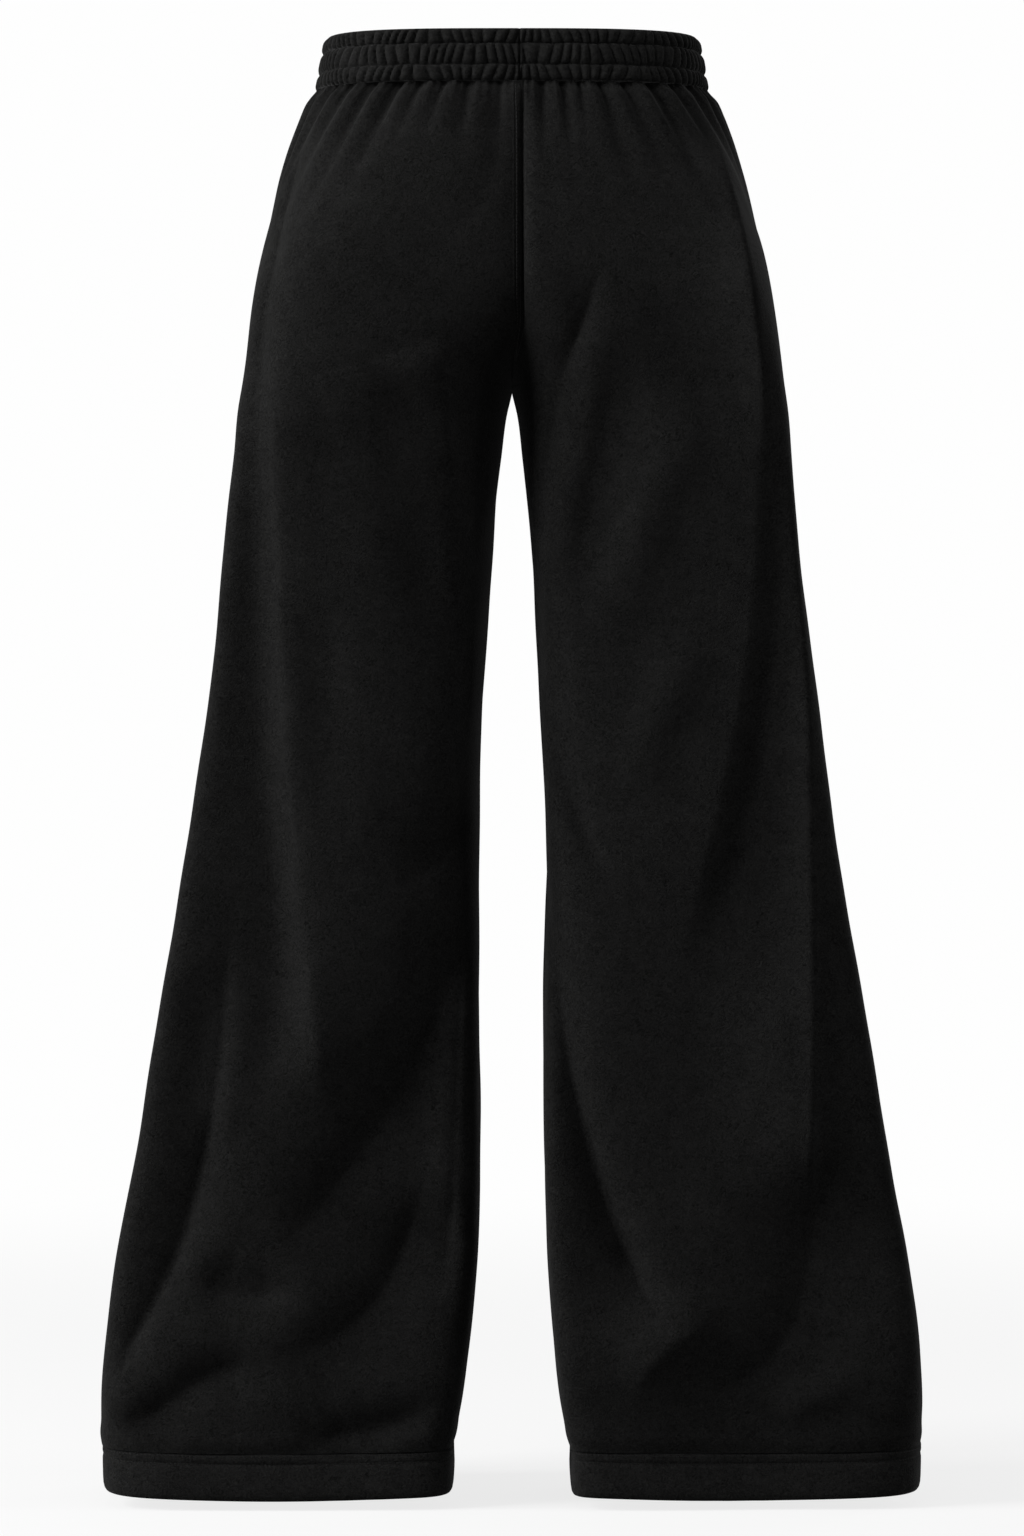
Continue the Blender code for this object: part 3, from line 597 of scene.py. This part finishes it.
def bump(away, width):
    """A smooth bump of height 1, this far from its middle."""
    return np.exp(-((away / width) ** 2))


def panel_columns(count):
    """Places of the columns across a panel, from 0 to 1, closer together near its seams."""
    even = np.linspace(0.0, 1.0, count)
    return even - COLUMN_CROWDING * np.sin(2 * math.pi * even) / (2 * math.pi)


def panel_points(side, face):
    """Outer and inner points of one panel, as rows of points from the inner seam to the side seam."""
    z = row_heights()[:, None]
    inner, outer = seam_angles(side, face, z)
    _, half, back, _ = half_oval(z)
    trim = SEAM_GAP / 2 / ((half + back) / 2)
    inner = inner - face * trim * (z <= CROTCH_Z)
    count = BACK_COLUMNS if face == BACK else FRONT_COLUMNS
    spread = panel_columns(count)
    crowding = 1.0 + CROTCH_CROWDING * np.exp(-np.maximum(z - CROTCH_Z, 0.0) / CROTCH_REACH)
    inseam = np.where(z > CROTCH_Z, face * np.pi, inner)
    theta = inseam + (outer + face * trim - inseam) * spread
    theta = theta - (inseam - inner) * (1.0 - spread) ** crowding
    points, facing = cloth_points(side, theta, z + 0.0 * theta)
    points = points + facing * seam_relief(side, face, points, z)[..., None]
    normals = surface_normals(points, facing)
    return points, points - CLOTH * normals


def surface_normals(points, facing):
    """Directions square to a grid of points, on the side that faces out, level at its two end rows."""
    normals = np.cross(np.gradient(points, axis=1), np.gradient(points, axis=0))
    normals /= np.linalg.norm(normals, axis=-1, keepdims=True)
    normals *= np.sign((normals * facing).sum(axis=-1, keepdims=True))
    normals[0, :, 2] = normals[-1, :, 2] = 0.0
    return normals / np.linalg.norm(normals, axis=-1, keepdims=True)


def grid_faces(rows, columns, start, closed=False):
    """Four corner numbers of each face of a grid of points."""
    numbers = start + np.arange(rows * columns).reshape(rows, columns)
    if closed:
        numbers = np.concatenate([numbers, numbers[:, :1]], axis=1)
    corners = numbers[:-1, :-1], numbers[1:, :-1], numbers[1:, 1:], numbers[:-1, 1:]
    return np.stack([c.ravel() for c in corners], axis=1)


def tube_faces(rows, columns):
    """Faces of rings of points, each joined to the next and the last to the first."""
    last = grid_faces(2, columns, 0, closed=True)
    last[:, [1, 2]] -= columns
    last[:, [0, 3]] += (rows - 1) * columns
    return [grid_faces(rows, columns, 0, closed=True), last]


def edge_round(numbers):
    """The numbers on the edge of a grid, once round it."""
    return np.concatenate([numbers[0, :-1], numbers[:-1, -1], numbers[-1, :0:-1], numbers[:0:-1, 0]])


def shell_faces(rows, columns):
    """Faces of a wall: a grid outside, every second of its points inside, and a rim between them."""
    outside = grid_faces(rows, columns, 0)
    inner_rows, inner_columns = (rows + 1) // 2, (columns + 1) // 2
    inside = grid_faces(inner_rows, inner_columns, rows * columns)[:, ::-1]
    fine = edge_round(np.arange(rows * columns).reshape(rows, columns))
    coarse = edge_round(np.arange(inner_rows * inner_columns).reshape(inner_rows, inner_columns))
    coarse = coarse + rows * columns
    rim = [fine[::2], fine[1::2], np.roll(fine, -2)[::2], np.roll(coarse, -1), coarse]
    return [outside, inside, np.stack(rim, axis=1)]


def make_mesh(name, points, groups, flip=False):
    """A smooth mesh object from points in millimetres and groups of faces with as many corners each."""
    if flip:
        groups = [faces[:, ::-1] for faces in groups]
    corners = np.concatenate([faces.ravel() for faces in groups])
    sizes = np.concatenate([np.full(len(faces), faces.shape[1]) for faces in groups])
    starts = np.cumsum(sizes) - sizes
    mesh = bpy.data.meshes.new(name)
    mesh.vertices.add(len(points))
    mesh.vertices.foreach_set("co", (points * MM).astype(np.float32).ravel())
    mesh.loops.add(len(corners))
    mesh.loops.foreach_set("vertex_index", corners.astype(np.int32))
    mesh.polygons.add(len(starts))
    mesh.polygons.foreach_set("loop_start", starts.astype(np.int32))
    mesh.update(calc_edges=True)
    mesh.validate()
    mesh.shade_smooth()
    mesh.set_sharp_from_angle(angle=math.radians(SHARP_ANGLE))
    piece = bpy.data.objects.new(name, mesh)
    bpy.context.scene.collection.objects.link(piece)
    return piece


def make_panel(side, face, name):
    """A front or back panel of one leg."""
    outer, inner = panel_points(side, face)
    rows, columns = outer.shape[:2]
    points = np.concatenate([outer.reshape(-1, 3), inner[::2, ::2].reshape(-1, 3)])
    return make_mesh(name, points, shell_faces(rows, columns), flip=side * face == RIGHT)


def waist_points(angles, z, outwards):
    """Points of the waistband's oval at heights z, moved outwards."""
    share = z / WAISTBAND_HEIGHT + 0.5
    half_width = WAISTBAND_BOTTOM_OVAL[0] + (WAISTBAND_TOP_OVAL[0] - WAISTBAND_BOTTOM_OVAL[0]) * share
    half_depth = WAISTBAND_BOTTOM_OVAL[1] + (WAISTBAND_TOP_OVAL[1] - WAISTBAND_BOTTOM_OVAL[1]) * share
    half_depth = half_depth * np.where(np.sin(angles) > 0, 1.0, FRONT_WAIST_SHARE)
    out_x, out_y = np.cos(angles) / half_width, np.sin(angles) / half_depth
    length = np.hypot(out_x, out_y)
    radius = oval_radius(angles, np.where(np.sin(angles) > 0, WAISTBAND_POWER, FRONT_POWER))
    x = half_width * radius * np.cos(angles) + outwards * out_x / length
    y = half_depth * radius * np.sin(angles) + outwards * out_y / length
    return np.stack([x, y, z + 0.0 * angles], axis=-1)


def ripple(row, angles, channel):
    """One slow wave round a channel of the waistband."""
    return row.height * np.sin(row.turns * angles + row.shift * channel.shift)


def waistband_swell(angles, z):
    """How far the shirred channels stand out: swollen between the stitch lines, ribbed all round."""
    swell = np.zeros(np.broadcast(angles, z).shape)
    for channel in CHANNELS:
        reach = (channel.top - channel.bottom) / 2
        height = (z - (channel.top + channel.bottom) / 2) / reach
        dome = np.sqrt(np.clip(CHANNEL_EDGE - np.abs(height) ** CHANNEL_SQUARENESS, 0.0, 1.0))
        wander = sum(ripple(row, angles, channel) for row in RIB_WANDERS)
        lean = ripple(RIB_LEAN, angles, channel) * height
        turn = RIBS * angles / 2 + math.pi * (channel.shift + wander + lean)
        rib = np.abs(np.sin(turn)) ** RIB_ROUNDNESS
        size = 1.0 - RIB_SIZES.height + ripple(RIB_SIZES, angles, channel)
        stands = channel.swell * dome + RIB_HEIGHT * size * (rib - 0.5) * dome - CHANNEL_SINK
        swell = np.where(np.abs(height) <= 1.0, stands, swell)
    return swell


def groove_wave(angles, z):
    """How far the stitched grooves wander up and down, less towards the waistband's edges."""
    return GROOVE_WAVE * np.sin(GROOVE_WAVES * angles) * (1.0 - (z * 2 / WAISTBAND_HEIGHT) ** 2)


def make_waistband():
    """The elastic band in three shirred channels, ribbed outside and plain inside."""
    angles = angles_round(RIBS * RIB_POINTS)
    half = WAISTBAND_HEIGHT / 2
    z = np.linspace(half, -half, WAISTBAND_ROWS)[:, None]
    outer = waist_points(angles, z, waistband_swell(angles, z))
    seam = bump(outer[..., 0] - CENTRE_SEAM_X, CENTRE_SEAM_WIDTH) * (outer[..., 1] > 0)
    outer[..., 1] -= CENTRE_SEAM_DEPTH * seam
    outer[..., 2] += groove_wave(angles, z)
    inner_z = np.linspace(-half, half, WAISTBAND_INNER_ROWS)[:, None]
    inner = waist_points(angles, inner_z, -WAISTBAND_WALL + 0.0 * angles)
    points = np.concatenate([outer, inner])
    return make_mesh("waistband_shirred", points.reshape(-1, 3), tube_faces(len(points), len(angles)))


def make_hem(side, name):
    """The turned hem of one leg, with two stitched lines round its top."""
    angles = angles_round(HEM_POINTS)
    rings = []
    for row in HEM_ROWS:
        points, out = cloth_points(side, angles, np.full(angles.shape, HEM_TOP_Z - row.drop))
        rings.append(points + out * row.outwards)
    points = np.concatenate(rings)
    return make_mesh(name, points, tube_faces(len(rings), HEM_POINTS), flip=side == RIGHT)


def noise(nodes, links, place, scale, detail, distortion=0.0):
    """Noise at this many lumps to the metre."""
    texture = nodes.new("ShaderNodeTexNoise")
    texture.inputs["Scale"].default_value = scale
    texture.inputs["Detail"].default_value = detail
    texture.inputs["Distortion"].default_value = distortion
    links.new(place.outputs["Object"], texture.inputs["Vector"])
    return texture.outputs["Fac"]


def blend_of(nodes, links, first, second, share):
    """Two values mixed, with this share of the second."""
    mix = nodes.new("ShaderNodeMix")
    mix.data_type = "FLOAT"
    mix.inputs[0].default_value = share
    links.new(first, mix.inputs[2])
    links.new(second, mix.inputs[3])
    return mix.outputs[0]


def grey_ramp(nodes, links, value, low, high, spread):
    """A value turned into greys from low to high, over a spread of values round a half."""
    ramp = nodes.new("ShaderNodeValToRGB")
    dark, pale = ramp.color_ramp.elements
    dark.position, pale.position = 0.5 - spread / 2, 0.5 + spread / 2
    dark.color, pale.color = (low, low, low * 0.98, 1.0), (high, high, high * 0.98, 1.0)
    links.new(value, ramp.inputs["Fac"])
    return ramp.outputs["Color"]


def new_material(name, **values):
    """A material with these values of its shader's inputs, with its nodes, its links and the shader."""
    material = bpy.data.materials.new(name)
    material.use_nodes = True
    nodes, links = material.node_tree.nodes, material.node_tree.links
    shader = nodes["Principled BSDF"]
    for label, value in values.items():
        shader.inputs[label.replace("_", " ")].default_value = value
    return material, nodes, links, shader


def add_relief(nodes, links, shader, height, strength, distance):
    """Let a value raise the surface in the light, up to a distance in metres."""
    relief = nodes.new("ShaderNodeBump")
    relief.inputs["Strength"].default_value = strength
    relief.inputs["Distance"].default_value = distance
    links.new(height, relief.inputs["Height"])
    links.new(relief.outputs["Normal"], shader.inputs["Normal"])


def fleece_material(name, tone, nap_height):
    """Black brushed fleece: a matt, mottled ground under a short curled nap, with a faint sheen."""
    look = dict(Roughness=0.95, Specular_IOR_Level=0.06, Sheen_Weight=0.1, Sheen_Roughness=0.3)
    material, nodes, links, shader = new_material(name, **look)
    place = nodes.new("ShaderNodeTexCoord")
    curls = noise(nodes, links, place, CURL_SCALE, 2.0, CURL_TWIST)
    fibres = noise(nodes, links, place, FIBRE_SCALE, 3.0)
    mottling = noise(nodes, links, place, MOTTLE_SCALE, 5.0)
    nap = blend_of(nodes, links, curls, fibres, FIBRE_SHARE)
    shade = blend_of(nodes, links, nap, mottling, MOTTLE_SHARE)
    colour = grey_ramp(nodes, links, shade, tone * DARKEST, tone * PALEST, TONE_SPREAD)
    links.new(colour, shader.inputs["Base Color"])
    add_relief(nodes, links, shader, nap, 1.0, nap_height)
    return material


def thread_material():
    """Black polyester thread: smoother than the cloth round it, with a fine twist."""
    look = dict(Roughness=0.6, Specular_IOR_Level=0.15)
    material, nodes, links, shader = new_material("sewing_thread", **look)
    place = nodes.new("ShaderNodeTexCoord")
    twist = noise(nodes, links, place, TWIST_SCALE, 2.0, TWIST_BEND)
    colour = grey_ramp(nodes, links, twist, *THREAD_TONES, THREAD_SPREAD)
    links.new(colour, shader.inputs["Base Color"])
    add_relief(nodes, links, shader, twist, 0.6, THREAD_TWIST_HEIGHT)
    return material


def stitch_places(line, facing, closed):
    """Even places along a line of points, with the directions along it and out of the cloth."""
    if closed:
        line, facing = np.concatenate([line, line[:1]]), np.concatenate([facing, facing[:1]])
    run = np.concatenate([[0.0], np.cumsum(np.linalg.norm(np.diff(line, axis=0), axis=1))])
    count = round(run[-1] / STITCH_PITCH)
    at = (np.arange(count) + 0.5) * run[-1] / count

    def along(values, where):
        return np.stack([np.interp(where, run, values[:, i]) for i in range(3)], axis=-1)

    direction = along(line, at + STITCH_LENGTH / 2) - along(line, at - STITCH_LENGTH / 2)
    return along(line, at), unit(direction), unit(along(facing, at))


def unit(vectors):
    return vectors / np.linalg.norm(vectors, axis=-1, keepdims=True)


def make_stitches(name, lines, material):
    """Short rounded stitches along one or more lines, joined in one piece."""
    places, directions, facing = (np.concatenate(part) for part in zip(*lines))
    sideways = unit(np.cross(directions, facing))
    rings = []
    for share, thickness in STITCH_ENDS:
        radius = THREAD_RADIUS * thickness
        for turn in angles_round(STITCH_SIDES):
            aside = sideways * math.cos(turn) + facing * math.sin(turn)
            rings.append(places + directions * share * STITCH_LENGTH + aside * radius)
    points = np.stack(rings, axis=1)
    last = (len(STITCH_ENDS) - 1) * STITCH_SIDES
    first_cap = np.array([[0, 1, 2, 3], [0, 3, 4, 5]])
    sides = grid_faces(len(STITCH_ENDS), STITCH_SIDES, 0, closed=True)
    faces = np.concatenate([sides[:, ::-1], first_cap, last + first_cap[:, ::-1]])
    shifts = np.arange(len(places))[:, None, None] * points.shape[1]
    piece = make_mesh(name, points.reshape(-1, 3), [(faces + shifts).reshape(-1, 4)])
    piece.data.materials.append(material)
    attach(piece, "root")
    return piece


def topstitch_line(outer):
    """The line of stitches beside the centre-back seam, on the panel's outer points above the crotch."""
    run = run_across(outer)
    normals = surface_normals(outer, np.broadcast_to([0.0, 1.0, 0.0], outer.shape))
    above = np.flatnonzero(row_heights() > CROTCH_Z + TOPSTITCH_END)[TOPSTITCH_SKIPPED_ROWS:]

    def beside_seam(values):
        rows = [[np.interp(TOPSTITCH_PLACE, run[i], column) for column in values[i].T] for i in above]
        return np.array(rows)

    return stitch_places(beside_seam(outer), beside_seam(normals), closed=False)


def hem_lines(side):
    """The two lines of stitches round the top of a hem."""
    angles = angles_round(HEM_POINTS)
    drops = [row.drop for row in HEM_ROWS[:HEM_OUTER_ROWS]]
    outwards = [row.outwards for row in HEM_ROWS[:HEM_OUTER_ROWS]]
    lines = []
    for drop in HEM_STITCH_DROPS:
        points, out = cloth_points(side, angles, np.full(angles.shape, HEM_TOP_Z - drop))
        lift = np.interp(drop, drops, outwards) + THREAD_RADIUS * STITCH_STANDS
        lines.append(stitch_places(points + out * lift, out, closed=True))
    return lines


def waistband_lines():
    """The lines of stitches round the waistband, in the grooves between its channels."""
    angles = angles_round(RIBS * RIB_POINTS)
    lines = []
    for channel in CHANNELS[:-1]:
        z = np.full(angles.shape, channel.bottom)
        points = waist_points(angles, z, GROOVE_FLOOR + 0.0 * angles)
        points[:, 2] += groove_wave(angles, channel.bottom)
        centre = np.array([0.0, 0.0, channel.bottom])
        lines.append(stitch_places(points, unit(points - centre), closed=True))
    return lines


def dress(piece, material, node):
    """Put a fine piece on its solid: give it its material and body, and hide the solid."""
    piece.data.materials.append(material)
    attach(piece, "root")
    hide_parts(node)


def make_garment():
    """All the pieces that are sewn together, each with its stitches."""
    body = fleece_material(*BODY_FLEECE)
    turned = fleece_material(*HEM_FLEECE)
    band = fleece_material(*WAISTBAND_FLEECE)
    thread = thread_material()
    for side, side_name in ((LEFT, "left"), (RIGHT, "right")):
        for face, face_name in ((BACK, "back"), (FRONT, "front")):
            node = f"{face_name}_{side_name}"
            piece = make_panel(side, face, f"{node}_cloth")
            stitches = []
            if (side, face) == (LEFT, BACK):
                line = topstitch_line(panel_points(side, face)[0])
                stitches = [make_stitches("centre_back_stitches", [line], thread)]
            dress(piece, body, node)
        piece = make_hem(side, f"hem_{side_name}_turned")
        stitches = make_stitches(f"hem_{side_name}_stitches", hem_lines(side), thread)
        dress(piece, turned, f"hem_{side_name}")
    piece = make_waistband()
    stitches = make_stitches("waistband_stitches", waistband_lines(), thread)
    dress(piece, band, "waistband")


def add_area_light(row):
    light = bpy.data.lights.new(row.name, "AREA")
    light.shape = "RECTANGLE"
    light.size, light.size_y = row.wide, row.tall
    light.energy = row.power
    holder = bpy.data.objects.new(row.name, light)
    holder.location = row.x, row.y, row.z
    aim = Vector(LIGHTS_AIM) - Vector(holder.location)
    holder.rotation_euler = aim.to_track_quat("-Z", "Y").to_euler()
    bpy.context.scene.collection.objects.link(holder)


def floor_material():
    """Pale matt floor that turns into the backdrop's own tone further out."""
    tone = (FLOOR_TONE, FLOOR_TONE, FLOOR_TONE, 1.0)
    material, nodes, links, shader = new_material("pale_floor", Base_Color=tone, Roughness=0.9)
    place = nodes.new("ShaderNodeTexCoord")
    length = nodes.new("ShaderNodeVectorMath")
    length.operation = "LENGTH"
    fade = nodes.new("ShaderNodeMapRange")
    fade.interpolation_type = "SMOOTHSTEP"
    fade.inputs["From Min"].default_value, fade.inputs["From Max"].default_value = FLOOR_FADE
    fade.inputs["To Min"].default_value = FLOOR_GLOW
    glow = nodes.new("ShaderNodeEmission")
    glow.inputs["Color"].default_value = (BACKDROP, BACKDROP, BACKDROP, 1.0)
    mix = nodes.new("ShaderNodeMixShader")
    links.new(place.outputs["Object"], length.inputs[0])
    links.new(length.outputs["Value"], fade.inputs["Value"])
    links.new(fade.outputs["Result"], mix.inputs["Fac"])
    links.new(shader.outputs["BSDF"], mix.inputs[1])
    links.new(glow.outputs["Emission"], mix.inputs[2])
    links.new(mix.outputs["Shader"], nodes["Material Output"].inputs["Surface"])
    return material


def make_world():
    """A pale backdrop all round, dimmer as a source of light than it looks."""
    world = bpy.data.worlds.new("studio")
    world.use_nodes = True
    nodes, links = world.node_tree.nodes, world.node_tree.links
    seen = nodes["Background"]
    seen.inputs["Color"].default_value = (BACKDROP, BACKDROP, BACKDROP, 1.0)
    lit = nodes.new("ShaderNodeBackground")
    lit.inputs["Color"].default_value = (AMBIENT, AMBIENT, AMBIENT, 1.0)
    path = nodes.new("ShaderNodeLightPath")
    mix = nodes.new("ShaderNodeMixShader")
    links.new(path.outputs["Is Camera Ray"], mix.inputs["Fac"])
    links.new(lit.outputs["Background"], mix.inputs[1])
    links.new(seen.outputs["Background"], mix.inputs[2])
    links.new(mix.outputs["Shader"], nodes["World Output"].inputs["Surface"])
    bpy.context.scene.world = world


def make_studio():
    """A pale floor under the hems, and soft light that comes mostly from the picture's left."""
    floor_z = HEM_TOP_Z * MM - FLOOR_DROP
    bpy.ops.mesh.primitive_plane_add(size=FLOOR_SIZE, location=(0.0, 0.0, floor_z))
    floor = bpy.context.object
    floor.name = "floor"
    floor.data.materials.append(floor_material())
    floor.visible_diffuse = floor.visible_glossy = False
    for row in LIGHTS:
        add_area_light(row)
    make_world()
    bpy.context.scene.view_settings.view_transform = "Standard"


def make_camera():
    """The photograph's view, level and from straight behind."""
    camera = bpy.data.cameras.new("camera")
    camera.lens = LENS
    camera.sensor_width = SENSOR_WIDTH
    holder = bpy.data.objects.new("camera", camera)
    holder.location = CAMERA_PLACE
    holder.rotation_euler = [math.radians(turn) for turn in CAMERA_TURN]
    bpy.context.scene.collection.objects.link(holder)
    bpy.context.scene.camera = holder


make_camera()
make_garment()
make_studio()
